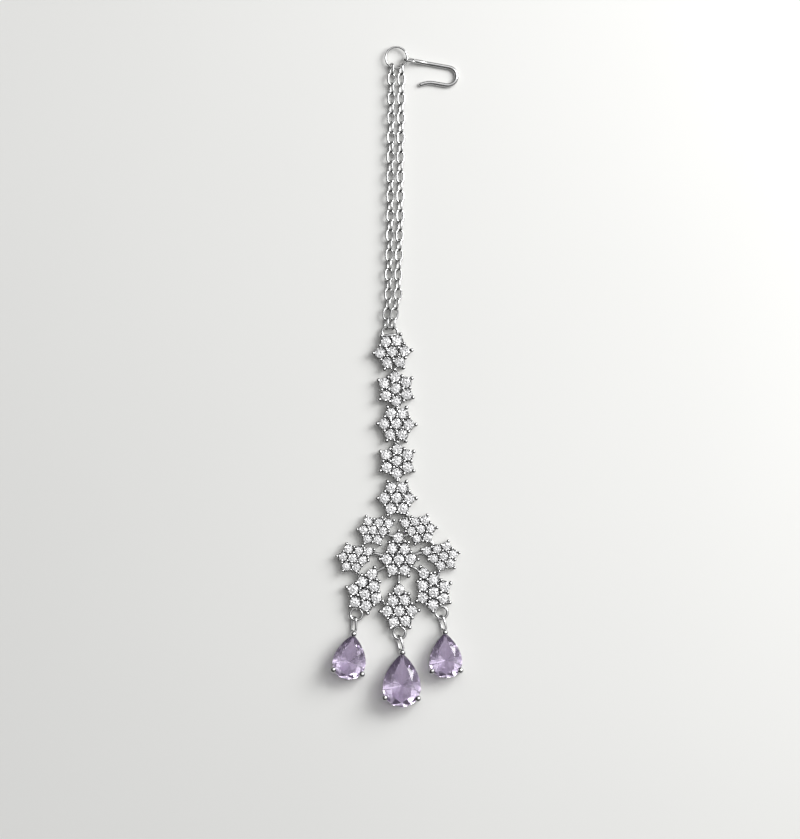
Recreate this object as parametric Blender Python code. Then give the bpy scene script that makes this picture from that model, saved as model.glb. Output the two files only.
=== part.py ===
"""Maang tikka: a strip of five stone flowers on a double chain with a hair hook,
a pendant of eight soldered flowers and three pear drops.

The jewel lies flat, face up (+Z), its chain along +Y, and its back rests on z = 0.
Lengths are in metres.
"""

import math

import bmesh
import bpy
from mathutils import Matrix, Vector

MM = 0.001

# Clusters of round stones: seven or eight stones, each a pitch from the next
LARGE_PITCH = 2.26 * MM
SMALL_PITCH = 1.85 * MM
SETTING_HEIGHT = 1.30 * MM
CROWN_HEIGHT = 0.32 * MM
PRONG_HEIGHT = 0.46 * MM

# Shares of the pitch within a cluster
STONE_RADIUS = 0.45
TABLE_RADIUS = 0.26
PRONG_RADIUS = 0.11
TIP_PRONG = 1.577
EXTRA_STONE = 3 ** 0.5
EXTRA_TIP_PRONG = 2.309
TIP_EDGE = 1.72
SHOULDER_EDGE = (1.33, 0.42)
VALLEY_EDGE = 1.28
OPEN_VALLEY_EDGE = 1.05
EXTRA_TIP_EDGE = 2.46
EXTRA_EDGE = ((1.60, 0.57), (2.07, 0.42))

STONE_SIDES = 8
PRONG_SIDES = 4

# Strip, from the pendant upwards: name, step from the piece below in large pitches,
# distance sideways from the pendant's centre, turn of its petals in degrees, and
# the sides where a valley is left open for a ring (1 up, -1 down)
STRIP = (
    ("strip_flower_5", 4.97, -0.32 * MM, 0.0, (1,)),
    ("strip_flower_4", 3.03, -0.30 * MM, 90.0, ()),
    ("strip_flower_3", 3.03, -0.38 * MM, -1.4, (1, -1)),
    ("strip_flower_2", 2.88, -0.54 * MM, 93.7, ()),
    ("strip_flower_1", 3.04, -1.14 * MM, 4.7, (-1,)),
)

# Pendant round its centre flower: name, pitch, reach from the centre as a share of
# the two pitches together, direction, and direction of its eighth stone in degrees
PENDANT = (
    ("upper_left", SMALL_PITCH, 1.725, 131.7, 26.0),
    ("upper_right", SMALL_PITCH, 1.671, 52.9, 157.0),
    ("middle_left", SMALL_PITCH, 2.067, 178.8, 22.0),
    ("middle_right", SMALL_PITCH, 2.026, 4.0, 163.0),
    ("lower_left", LARGE_PITCH, 1.985, 225.5, 69.3),
    ("lower_right", LARGE_PITCH, 1.949, 316.8, 117.7),
    ("bottom", LARGE_PITCH, 2.104, 270.9, 92.0),
)
CENTRE_EXTRA = 90.0
SOLDERED_TIPS = (
    ("upper_left", "middle_left"),
    ("middle_left", "lower_left"),
    ("lower_left", "bottom"),
    ("bottom", "lower_right"),
    ("lower_right", "middle_right"),
    ("middle_right", "upper_right"),
)
BARS_TO_CENTRE = ("middle_left", "middle_right", "lower_left", "lower_right", "bottom")
BARS_TO_CENTRE_EXTRA = ("upper_left", "upper_right")
BAR_WIDTH = 0.50 * MM
BAR_BOTTOM = 0.35 * MM
BAR_TOP = 0.95 * MM
BAR_SEAT = 0.85
BAR_SEAT_IN_EXTRA = 0.32

# Rings that join the strip's flowers: each goes round a post in either flower
RING_WIRE = 0.26 * MM
POST_WIDTH = 0.32 * MM
RING_CLEARANCE = 0.11 * MM
SLOT_BOTTOM = 0.40 * MM
SLOT_TOP = 0.95 * MM
TIP_POST = 1.50
VALLEY_POST = 0.78

# Wires and their gaps
JOIN_GAP = 0.10 * MM
JOIN_OVERLAP = 0.25 * MM
LOOP_WIRE = 0.45 * MM
LOOP_WIDTH = 2.75 * MM
LOOP_HEIGHT_ABOVE_BACK = 0.82 * MM
TOP_LOOP_WIDTH = 3.40 * MM
TOP_LOOP_LENGTH = 2.20 * MM
TOP_LOOP_DIRECTION = 98.0

# Chain: two strands of oval links, each link turned a quarter from the next
LINK_WIRE = 0.38 * MM
LINK_LENGTH = 2.52 * MM
LINK_WIDTH = 1.58 * MM
LINK_PITCH = 1.82 * MM
STEEP_ROLL = 65.0
FLAT_ROLL = STEEP_ROLL - 90.0
LINK_COUNT = 27
# Where each strand runs: sideways places, and how far along the strand each one is
LEFT_ROUTE = ((-0.62 * MM, 0.0), (-0.20 * MM, 0.12), (0.10 * MM, 0.45), (0.35 * MM, 1.0))
RIGHT_ROUTE = ((0.62 * MM, 0.0), (1.52 * MM, 0.12), (1.92 * MM, 0.45), (2.15 * MM, 1.0))

# Far end: a ring and a plain wire hook
END_RING_WIDTH = 4.40 * MM
END_RING_WIRE = 0.40 * MM
HOOK_WIRE = 0.80 * MM
HOOK_EYE_WIRE = 0.50 * MM
HOOK_EYE_LENGTH = 2.60 * MM
HOOK_EYE_WIDTH = 1.75 * MM
HOOK_SHANK = 6.40 * MM
HOOK_GAP = 2.60 * MM
HOOK_RETURN = 4.60 * MM
HOOK_FLARE = 0.70 * MM
HOOK_TURN = -10.0
# Shares of the shank where it starts to sink and lies flat, and of the return before its flare
HOOK_SINK_START = 0.12
HOOK_SINK_END = 0.35
HOOK_FLARE_START = 0.70

# Drops: name, flower that carries it, direction of its loop from that flower, place
# round the loop where the bail hangs, lean of the bail, turn of the stone, all in
# degrees, and the stone's width, length, crown, and depth below the girdle
DROPS = (
    ("left", "lower_left", 247.4, 228.0, 0.0, -9.0, 6.1 * MM, 8.2 * MM, 0.80 * MM, 2.45 * MM),
    ("centre", "bottom", 270.0, 240.0, 16.0, -1.1, 7.0 * MM, 9.8 * MM, 0.95 * MM, 2.85 * MM),
    ("right", "lower_right", 291.4, 255.0, 15.0, 1.6, 6.0 * MM, 8.2 * MM, 0.80 * MM, 2.45 * MM),
)
BAIL_WIRE = 0.40 * MM
BAIL_LENGTH = 3.20 * MM
BAIL_WIDTH = 1.80 * MM
BAIL_ROLL = 52.0
BALL_WIDTH = 1.05 * MM
BALL_RISE = 0.45
DROP_PRONG_WIDTH = 0.70 * MM
DROP_RAIL = 0.45 * MM
UPPER_RAIL_ABOVE_BACK = 1.45 * MM
BALL_PAST_TIP = 0.20 * MM
BALL_PAST_SIDE = 0.20 * MM
CULET_ABOVE_BACK = 0.30 * MM
GIRDLE_THICKNESS = 0.14 * MM
STONE_GAP = 0.10 * MM
SIDE_PRONG_PLACE = 131.0
PEAR_STEPS = 16
RAIL_STEPS = 12
PEAR_TABLE = 0.56
PEAR_PAVILION = 0.50
PEAR_BELLY = -0.11
# How sharp the pear's tip is: 1 is a straight-sided point, 0 an oval
PEAR_SHARPNESS = 0.7
RAIL_SCALE = 0.97


def direction(degrees):
    """Unit vector in the plane of the back, counted from +X."""
    angle = math.radians(degrees)
    return Vector((math.cos(angle), math.sin(angle), 0.0))


def make_material(name, colour, metallic, roughness):
    """One Principled material."""
    material = bpy.data.materials.new(name)
    material.use_nodes = True
    shader = material.node_tree.nodes["Principled BSDF"]
    shader.inputs["Base Color"].default_value = (*colour, 1.0)
    shader.inputs["Metallic"].default_value = metallic
    shader.inputs["Roughness"].default_value = roughness
    material.diffuse_color = (*colour, 1.0)
    return material


def clear_scene():
    """Remove what Blender starts with."""
    for item in list(bpy.data.objects):
        bpy.data.objects.remove(item, do_unlink=True)


def finish_object(name, mesh_data, material):
    """Turn a bmesh into a named object with outward faces."""
    bmesh.ops.recalc_face_normals(mesh_data, faces=mesh_data.faces[:])
    mesh = bpy.data.meshes.new(name)
    mesh_data.to_mesh(mesh)
    mesh_data.free()
    mesh.materials.append(material)
    item = bpy.data.objects.new(name, mesh)
    bpy.context.scene.collection.objects.link(item)
    return item


def apply_boolean(item, tool, operation):
    """Join or cut an object with another one, and remove the other one."""
    modifier = item.modifiers.new(operation.title(), "BOOLEAN")
    modifier.operation = operation
    modifier.solver = "EXACT"
    modifier.use_self = True
    modifier.object = tool
    evaluated = item.evaluated_get(bpy.context.evaluated_depsgraph_get())
    result = bpy.data.meshes.new_from_object(evaluated)
    item.modifiers.clear()
    old = item.data
    item.data = result
    result.name = item.name
    bpy.data.meshes.remove(old)
    bpy.data.objects.remove(tool, do_unlink=True)


def add_loop(mesh_data, points):
    """Closed ring of vertices and edges."""
    corners = [mesh_data.verts.new(point) for point in points]
    edges = [mesh_data.edges.new((corners[i - 1], corners[i])) for i in range(len(corners))]
    return corners, edges


def add_side(mesh_data, lower, upper):
    """Wall of quads between two rings of equally many vertices."""
    for i in range(len(lower)):
        mesh_data.faces.new((lower[i - 1], lower[i], upper[i], upper[i - 1]))


def polygon(centre, radius, sides, turn, height):
    """Corners of a regular polygon."""
    corners = []
    for i in range(sides):
        spoke = direction(turn + 360.0 * i / sides) * radius
        corners.append(Vector((centre.x + spoke.x, centre.y + spoke.y, height)))
    return corners


class Cluster:
    """Places within one flower of round stones."""

    def __init__(self, centre, pitch, turn, extra=None, open_valleys=()):
        self.centre = Vector((centre[0], centre[1], 0.0))
        self.pitch = pitch
        self.turn = turn
        self.extra = extra
        self.petals = [turn + 60.0 * k for k in range(6)]
        self.valleys = [turn + 30.0 + 60.0 * k for k in range(6)]
        self.open_valleys = [
            min(self.valleys, key=lambda valley: (direction(valley) - direction(side)).length)
            for side in open_valleys
        ]

    def place(self, along, across, degrees):
        """Point given in pitches along and across a direction from the centre."""
        forward = direction(degrees)
        sideways = direction(degrees + 90.0)
        return self.centre + (forward * along + sideways * across) * self.pitch

    def extra_centre(self):
        return self.place(EXTRA_STONE, 0.0, self.extra)

    def is_extra_valley(self, valley):
        return self.extra is not None and (direction(valley) - direction(self.extra)).length < 0.1

    def outline(self):
        """Edge of the setting, counter-clockwise."""
        points = []
        for petal, valley in zip(self.petals, self.valleys):
            before = valley - 60.0
            if not self.is_extra_valley(before):
                points.append(self.place(SHOULDER_EDGE[0], -SHOULDER_EDGE[1], petal))
            points.append(self.place(TIP_EDGE, 0.0, petal))
            if self.is_extra_valley(valley):
                points += [self.place(along, -across, valley) for along, across in EXTRA_EDGE]
                points.append(self.place(EXTRA_TIP_EDGE, 0.0, valley))
                points += [self.place(along, across, valley) for along, across in reversed(EXTRA_EDGE)]
                continue
            points.append(self.place(SHOULDER_EDGE[0], SHOULDER_EDGE[1], petal))
            edge = OPEN_VALLEY_EDGE if valley in self.open_valleys else VALLEY_EDGE
            points.append(self.place(edge, 0.0, valley))
        return points

    def stones(self):
        places = [self.centre.copy()] + [self.place(1.0, 0.0, petal) for petal in self.petals]
        if self.extra is not None:
            places.append(self.extra_centre())
        return places

    def prongs(self):
        places = [(self.place(TIP_PRONG, 0.0, petal), petal) for petal in self.petals]
        if self.extra is not None:
            places.append((self.place(EXTRA_TIP_PRONG, 0.0, self.extra), self.extra))
        return places


def add_prong(mesh_data, place, turn, radius):
    """Prong that stands on the setting and closes in a point; returns its foot's edges."""
    foot, edges = add_loop(mesh_data, polygon(place, radius, PRONG_SIDES, turn, SETTING_HEIGHT))
    top = mesh_data.verts.new((place.x, place.y, SETTING_HEIGHT + PRONG_HEIGHT))
    for i in range(PRONG_SIDES):
        mesh_data.faces.new((foot[i - 1], foot[i], top))
    return edges


def add_round_stone(mesh_data, place, pitch, turn):
    """Crown of a round stone with its table; returns its girdle's edges."""
    girdle, edges = add_loop(
        mesh_data, polygon(place, STONE_RADIUS * pitch, STONE_SIDES, turn, SETTING_HEIGHT)
    )
    table = [
        mesh_data.verts.new(corner)
        for corner in polygon(place, TABLE_RADIUS * pitch, STONE_SIDES, turn, SETTING_HEIGHT + CROWN_HEIGHT)
    ]
    add_side(mesh_data, girdle, table)
    mesh_data.faces.new(table)
    return edges


def add_cluster(mesh_data, cluster):
    """Setting, stones and prongs of one flower, closed all round."""
    outline = cluster.outline()
    back, back_edges = add_loop(mesh_data, outline)
    front, front_edges = add_loop(mesh_data, [point + Vector((0, 0, SETTING_HEIGHT)) for point in outline])
    add_side(mesh_data, back, front)
    holes = []
    for place in cluster.stones():
        holes += add_round_stone(mesh_data, place, cluster.pitch, cluster.turn + 22.5)
    for place, turn in cluster.prongs():
        holes += add_prong(mesh_data, place, turn, PRONG_RADIUS * cluster.pitch)
    bmesh.ops.triangle_fill(mesh_data, edges=back_edges, use_beauty=True, normal=(0, 0, -1))
    bmesh.ops.triangle_fill(mesh_data, edges=front_edges + holes, use_beauty=True, normal=(0, 0, 1))


def add_box(mesh_data, start, end, width, bottom, top):
    """Straight bar between two points of the plane."""
    along = (end - start).normalized()
    side = Vector((-along.y, along.x, 0.0)) * (width / 2)
    corners = [start - side, end - side, end + side, start + side]
    lower = [mesh_data.verts.new((corner.x, corner.y, bottom)) for corner in corners]
    upper = [mesh_data.verts.new((corner.x, corner.y, top)) for corner in corners]
    add_side(mesh_data, lower, upper)
    mesh_data.faces.new(lower)
    mesh_data.faces.new(upper)


def add_wire(mesh_data, points, width, sides, closed, normal):
    """Round wire along points; the normal is a direction off the wire's plane."""
    rings = []
    count = len(points)
    for i, point in enumerate(points):
        ahead = points[(i + 1) % count] if closed or i + 1 < count else point
        behind = points[i - 1] if closed or i > 0 else point
        tangent = (ahead - behind).normalized()
        side = tangent.cross(normal).normalized()
        upward = side.cross(tangent)
        ring = []
        for k in range(sides):
            angle = 2 * math.pi * k / sides
            offset = (side * math.cos(angle) + upward * math.sin(angle)) * (width / 2)
            ring.append(mesh_data.verts.new(point + offset))
        rings.append(ring)
    for i in range(count if closed else count - 1):
        add_side(mesh_data, rings[i], rings[(i + 1) % count])
    if not closed:
        mesh_data.faces.new(rings[0])
        mesh_data.faces.new(rings[-1])


def oval(centre, along, across, length, width, wire, end_steps):
    """Centre line of an oval ring of wire, given its outer length and width."""
    radius = (width - wire) / 2
    straight = (length - wire) / 2 - radius
    points = []
    for end in (1, -1):
        for k in range(end_steps + 1):
            angle = -math.pi / 2 + math.pi * k / end_steps
            forward = end * (straight + radius * math.cos(angle))
            sideways = end * radius * math.sin(angle)
            points.append(centre + along * forward + across * sideways)
    return points


def rolled(along, degrees):
    """Direction across a wire ring that is rolled about its length, and its normal."""
    level = Vector((along.y, -along.x, 0.0))
    angle = math.radians(degrees)
    across = level * math.cos(angle) + Vector((0, 0, 1)) * math.sin(angle)
    return across, along.cross(across).normalized()


def strip_clusters():
    """Flowers of the strip, lowest first."""
    clusters = {}
    height = 0.0
    for name, step, sideways, turn, open_sides in STRIP:
        height += step * LARGE_PITCH
        open_valleys = [side * 90.0 + turn for side in open_sides]
        clusters[name] = Cluster((sideways, height), LARGE_PITCH, turn, None, open_valleys)
    return clusters


def pendant_clusters():
    """Flowers of the pendant, the centre first."""
    clusters = {"centre": Cluster((0.0, 0.0), LARGE_PITCH, CENTRE_EXTRA + 30.0, CENTRE_EXTRA)}
    for name, pitch, reach, way, extra in PENDANT:
        place = direction(way) * reach * (LARGE_PITCH + pitch)
        clusters[name] = Cluster(place, pitch, extra + 30.0, extra)
    return clusters


def make_strip_flower(name, cluster, material):
    mesh_data = bmesh.new()
    add_cluster(mesh_data, cluster)
    return finish_object(name, mesh_data, material)


def seat(cluster, goal):
    """Point inside a flower's setting, on the way to another place."""
    return cluster.centre + (goal - cluster.centre).normalized() * BAR_SEAT * cluster.pitch


def loop_centre(cluster, way):
    """Centre of a loop that is soldered in a valley of a flower."""
    reach = VALLEY_EDGE * cluster.pitch + LOOP_WIDTH / 2 - JOIN_OVERLAP
    centre = cluster.centre + direction(way) * reach
    centre.z = LOOP_HEIGHT_ABOVE_BACK
    return centre


def make_pendant(clusters, material):
    """Eight flowers, the bars and solder between them, and the three loops for drops."""
    flowers = bmesh.new()
    for cluster in clusters.values():
        add_cluster(flowers, cluster)
    pendant = finish_object("pendant_cluster", flowers, material)
    joins = bmesh.new()
    centre = clusters["centre"]
    for name in BARS_TO_CENTRE:
        outer = clusters[name].extra_centre()
        add_box(joins, outer, seat(centre, outer), BAR_WIDTH, BAR_BOTTOM, BAR_TOP)
    for name in BARS_TO_CENTRE_EXTRA:
        goal = centre.extra_centre()
        start = seat(clusters[name], goal)
        end = goal + (start - goal).normalized() * BAR_SEAT_IN_EXTRA * centre.pitch
        add_box(joins, start, end, BAR_WIDTH, BAR_BOTTOM, BAR_TOP)
    for first, second in SOLDERED_TIPS:
        start = seat(clusters[first], clusters[second].centre)
        end = seat(clusters[second], clusters[first].centre)
        add_box(joins, start, end, BAR_WIDTH, BAR_BOTTOM, BAR_TOP)
    for row in DROPS:
        cluster = clusters[row[1]]
        ring = oval(
            loop_centre(cluster, row[2]), Vector((1, 0, 0)), Vector((0, 1, 0)),
            LOOP_WIDTH, LOOP_WIDTH, LOOP_WIRE, 5,
        )
        add_wire(joins, tidy_ring(ring), LOOP_WIRE, 5, True, Vector((0, 0, 1)))
    apply_boolean(pendant, finish_object("joins", joins, material), "UNION")
    return pendant


def tidy_ring(points):
    """Closed path without repeated points."""
    kept = []
    for point in points:
        if all((point - other).length > 1e-7 for other in kept):
            kept.append(point)
    return kept


def cut_slot(item, post, goal, reach):
    """Slot round a post inside a setting, open towards another place."""
    along = (goal - post).normalized()
    side = Vector((-along.y, along.x, 0.0))
    half = POST_WIDTH / 2
    half_diagonal = half * math.sqrt(2)
    back = half_diagonal + 2 * RING_CLEARANCE + RING_WIRE
    cutter = bmesh.new()
    outer = [(-back, -back), (reach, -back), (reach, back), (-back, back)]
    inner = [(-half, -half), (half, -half), (half, half), (-half, half)]
    rings = []
    for corners in (outer, inner):
        for height in (SLOT_BOTTOM, SLOT_TOP):
            ring = []
            for forward, sideways in corners:
                point = post + along * forward + side * sideways
                ring.append(cutter.verts.new((point.x, point.y, height)))
            rings.append(ring)
    add_side(cutter, rings[0], rings[1])
    add_side(cutter, rings[2], rings[3])
    add_side(cutter, rings[0], rings[2])
    add_side(cutter, rings[1], rings[3])
    apply_boolean(item, finish_object("slot", cutter, item.data.materials[0]), "DIFFERENCE")


def make_joining_ring(name, first, first_post, second, second_post, material):
    """Flat ring round a post in each of two pieces, and the slots it runs in."""
    middle = (SLOT_BOTTOM + SLOT_TOP) / 2
    distance = (second_post - first_post).length
    cut_slot(first, first_post, second_post, distance)
    cut_slot(second, second_post, first_post, distance)
    radius = POST_WIDTH / 2 * math.sqrt(2) + RING_CLEARANCE + RING_WIRE / 2
    along = (second_post - first_post).normalized()
    across = Vector((-along.y, along.x, 0.0))
    centre = (first_post + second_post) / 2
    centre.z = middle
    width = 2 * radius + RING_WIRE
    ring = oval(centre, along, across, distance + width, width, RING_WIRE, 4)
    mesh_data = bmesh.new()
    add_wire(mesh_data, tidy_ring(ring), RING_WIRE, 5, True, Vector((0, 0, 1)))
    return finish_object(name, mesh_data, material)


def top_loop_centre(cluster):
    reach = VALLEY_EDGE * cluster.pitch + TOP_LOOP_LENGTH / 2 - JOIN_OVERLAP
    centre = cluster.centre + direction(TOP_LOOP_DIRECTION) * reach
    centre.z = LOOP_HEIGHT_ABOVE_BACK
    return centre


def add_top_loop(item, cluster, material):
    """Wide loop on the first flower, which carries both strands."""
    mesh_data = bmesh.new()
    ring = oval(
        top_loop_centre(cluster), Vector((1, 0, 0)), Vector((0, 1, 0)),
        TOP_LOOP_WIDTH, TOP_LOOP_LENGTH, LOOP_WIRE, 5,
    )
    add_wire(mesh_data, tidy_ring(ring), LOOP_WIRE, 5, True, Vector((0, 0, 1)))
    apply_boolean(item, finish_object("top_loop", mesh_data, material), "UNION")


def route_side(route, share):
    """Sideways place along a strand, smooth between the chosen points."""
    for (start_side, start), (end_side, end) in zip(route, route[1:]):
        if share <= end:
            part = (share - start) / (end - start)
            eased = part * part * (3 - 2 * part)
            return start_side + (end_side - start_side) * eased
    return route[-1][0]


def strand_links(loop, route):
    """Centre and direction of each link of a strand."""
    hang = LOOP_WIRE / 2 + LINK_WIRE / 2 + JOIN_GAP
    first = loop.y + (TOP_LOOP_LENGTH - LOOP_WIRE) / 2 - hang + (LINK_LENGTH - LINK_WIRE) / 2
    centres = []
    for i in range(LINK_COUNT):
        share = i / (LINK_COUNT - 1)
        centres.append(Vector((loop.x + route_side(route, share), first + i * LINK_PITCH, loop.z)))
    links = []
    for i, centre in enumerate(centres):
        ahead = centres[min(i + 1, LINK_COUNT - 1)]
        behind = centres[max(i - 1, 0)]
        links.append((centre, (ahead - behind).normalized()))
    return links


def make_strand(name, links, material):
    """Strand of oval links, every link joined to its neighbours where they touch."""
    halves = []
    for start, roll in ((0, STEEP_ROLL), (1, FLAT_ROLL)):
        mesh_data = bmesh.new()
        for centre, along in links[start::2]:
            across, normal = rolled(along, roll)
            ring = oval(centre, along, across, LINK_LENGTH, LINK_WIDTH, LINK_WIRE, 3)
            add_wire(mesh_data, tidy_ring(ring), LINK_WIRE, 5, True, normal)
        halves.append(finish_object(name + str(start), mesh_data, material))
    strand, other = halves
    apply_boolean(strand, other, "UNION")
    strand.name = name
    return strand


def end_ring_centre(left, right):
    """Centre of the ring that holds the last links of both strands."""
    spread = (right.x - left.x) / 2
    inner = (END_RING_WIDTH - END_RING_WIRE) / 2 - END_RING_WIRE / 2 - LINK_WIRE / 2 - JOIN_GAP
    tip = max(left.y, right.y) + (LINK_LENGTH - LINK_WIRE) / 2
    return Vector(((left.x + right.x) / 2, tip + math.sqrt(inner ** 2 - spread ** 2), left.z))


def make_end_ring(centre, material):
    mesh_data = bmesh.new()
    ring = oval(
        centre, Vector((1, 0, 0)), Vector((0, 1, 0)),
        END_RING_WIDTH, END_RING_WIDTH, END_RING_WIRE, 6,
    )
    add_wire(mesh_data, tidy_ring(ring), END_RING_WIRE, 5, True, Vector((0, 0, 1)))
    return finish_object("end_ring", mesh_data, material)


def make_hook(ring_centre, material):
    """Plain wire hook with an eye that hangs in the end ring."""
    along = direction(HOOK_TURN)
    side = Vector((-along.y, along.x, 0.0))
    inner = (END_RING_WIDTH - END_RING_WIRE) / 2 - END_RING_WIRE / 2 - HOOK_EYE_WIRE / 2 - JOIN_GAP
    eye_half = (HOOK_EYE_LENGTH - HOOK_EYE_WIRE) / 2
    eye_centre = ring_centre + along * (inner + eye_half)
    across, normal = rolled(along, STEEP_ROLL)
    eye = oval(eye_centre, along, across, HOOK_EYE_LENGTH, HOOK_EYE_WIDTH, HOOK_EYE_WIRE, 4)
    mesh_data = bmesh.new()
    add_wire(mesh_data, tidy_ring(eye), HOOK_EYE_WIRE, 6, True, normal)
    hook = finish_object("hair_hook", mesh_data, material)
    start = eye_centre + along * eye_half
    low = Vector((0, 0, HOOK_WIRE / 2 - start.z))
    bend = HOOK_GAP / 2 + HOOK_WIRE / 2
    turn_centre = start + along * HOOK_SHANK - side * bend + low
    path = [start, start + along * HOOK_SHANK * HOOK_SINK_START]
    path.append(start + along * HOOK_SHANK * HOOK_SINK_END + low)
    for k in range(7):
        angle = math.pi / 2 - math.pi * k / 6
        path.append(turn_centre + (along * math.cos(angle) + side * math.sin(angle)) * bend)
    path.append(turn_centre - side * bend - along * HOOK_RETURN * HOOK_FLARE_START)
    path.append(turn_centre - side * (bend + HOOK_FLARE) - along * HOOK_RETURN)
    body = bmesh.new()
    add_wire(body, path, HOOK_WIRE, 6, False, Vector((0, 0, 1)))
    apply_boolean(hook, finish_object("hook_wire", body, material), "UNION")
    return hook


def pear_point(width, length, degrees, scale=1.0):
    """Point of a pear outline, counted from its tip at +Y, scaled about its belly."""
    angle = math.radians(degrees)
    belly = PEAR_BELLY * length
    fullest = math.atan(math.sqrt(PEAR_SHARPNESS + 1))
    full = math.sin(2 * fullest) * math.sin(fullest) ** PEAR_SHARPNESS
    x = width / 2 * math.sin(angle) * abs(math.sin(angle / 2)) ** PEAR_SHARPNESS / full
    y = length / 2 * math.cos(angle)
    return Vector((x * scale, belly + (y - belly) * scale, 0.0))


def pear_ring(width, length, scale, steps):
    return [pear_point(width, length, -360.0 * k / steps, scale) for k in range(steps)]


def add_facets(mesh_data, girdle, inner):
    """Facets between a ring and an inner ring of half as many corners."""
    count = len(inner)
    for k in range(count):
        here = inner[k]
        ahead = inner[(k + 1) % count]
        first = girdle[2 * k]
        middle = girdle[2 * k + 1]
        last = girdle[(2 * k + 2) % len(girdle)]
        mesh_data.faces.new((first, middle, here))
        mesh_data.faces.new((middle, last, ahead))
        mesh_data.faces.new((here, middle, ahead))


def pear_stone_mesh(width, length, crown, depth, grow):
    """Pear-cut stone with a table, crown facets, girdle and pavilion, tip at +Y."""
    girdle = CULET_ABOVE_BACK + depth
    width += 2 * grow
    length += 2 * grow
    outline = pear_ring(width, length, 1.0, PEAR_STEPS)
    mesh_data = bmesh.new()

    def ring_at(points, height):
        return [mesh_data.verts.new((point.x, point.y, height)) for point in points]

    lower = ring_at(outline, girdle - grow)
    upper = ring_at(outline, girdle + GIRDLE_THICKNESS + grow)
    table_height = girdle + GIRDLE_THICKNESS + crown + grow
    table = ring_at(pear_ring(width, length, PEAR_TABLE, PEAR_STEPS // 2), table_height)
    pavilion_height = girdle - depth * PEAR_PAVILION - grow
    pavilion = ring_at(pear_ring(width, length, PEAR_PAVILION, PEAR_STEPS // 2), pavilion_height)
    culet = mesh_data.verts.new((0.0, PEAR_BELLY * length, girdle - depth - grow))
    add_side(mesh_data, lower, upper)
    add_facets(mesh_data, upper, table)
    mesh_data.faces.new(table)
    add_facets(mesh_data, lower, pavilion)
    for k in range(len(pavilion)):
        mesh_data.faces.new((pavilion[k - 1], pavilion[k], culet))
    return mesh_data


def add_column(mesh_data, place, bottom, top, width):
    """Upright prong."""
    sides = 6
    lower = [mesh_data.verts.new(point) for point in polygon(place, width / 2, sides, 0.0, bottom)]
    upper = [mesh_data.verts.new(point) for point in polygon(place, width / 2, sides, 0.0, top)]
    add_side(mesh_data, lower, upper)
    mesh_data.faces.new(lower)
    mesh_data.faces.new(upper)


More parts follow.
